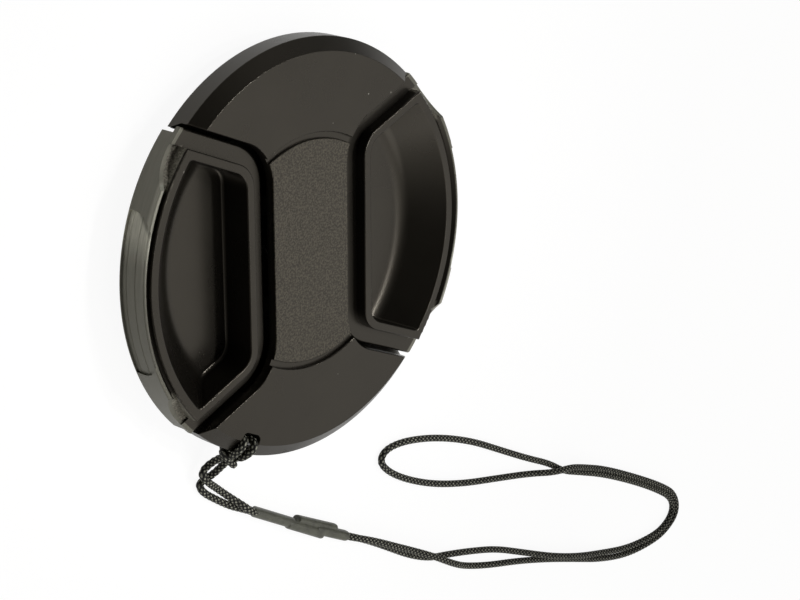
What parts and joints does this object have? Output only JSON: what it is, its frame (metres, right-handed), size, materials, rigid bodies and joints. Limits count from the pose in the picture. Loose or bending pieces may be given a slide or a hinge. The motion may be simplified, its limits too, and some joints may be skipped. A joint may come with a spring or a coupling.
{
  "type": "camera lens cap",
  "caption": "Round clip-in lens cap with sprung pinch grips, finger pockets and thread clips, and a leash cord hitched through its rim with a moulded sleeve.",
  "frame": {"origin": "on the cap's axis, at the level of the floor it lies on: the insert ring's back face", "axes": "+Z along the cap's axis out of the front face, +X towards the right grip as seen from the front, +Y towards the rim away from the leash"},
  "size_m": [0.136, 0.1145, 0.009],
  "materials": {
    "face_plastic": "satin black moulding",
    "back_plastic": "matte black moulding",
    "grip_plastic": "satin black moulding",
    "spring_steel": "black oxide wire",
    "sleeve_rubber": "moulded soft plastic",
    "cord_braid": "fine round braid"
  },
  "bodies": {
    "cap_body": {"front_shell": "face_plastic", "back_plate": "back_plastic", "left_spring": "spring_steel", "right_spring": "spring_steel", "cord_sleeve": "sleeve_rubber", "hitch_cord": "cord_braid", "wrist_cord": "cord_braid"},
    "left_grip": {"left_grip": "grip_plastic"},
    "right_grip": {"right_grip": "grip_plastic"}
  },
  "joints": [
    {"name": "left_pinch", "type": "slide", "parent": "cap_body", "child": "left_grip", "axis": [1, 0, 0], "range_m": [0, 0.0012], "stiffness_N_per_m": 400, "springref_m": -0.0006, "deforming": ["left_spring"]},
    {"name": "right_pinch", "type": "slide", "parent": "cap_body", "child": "right_grip", "axis": [-1, 0, 0], "range_m": [0, 0.0012], "stiffness_N_per_m": 400, "springref_m": -0.0006, "deforming": ["right_spring"]}
  ]
}
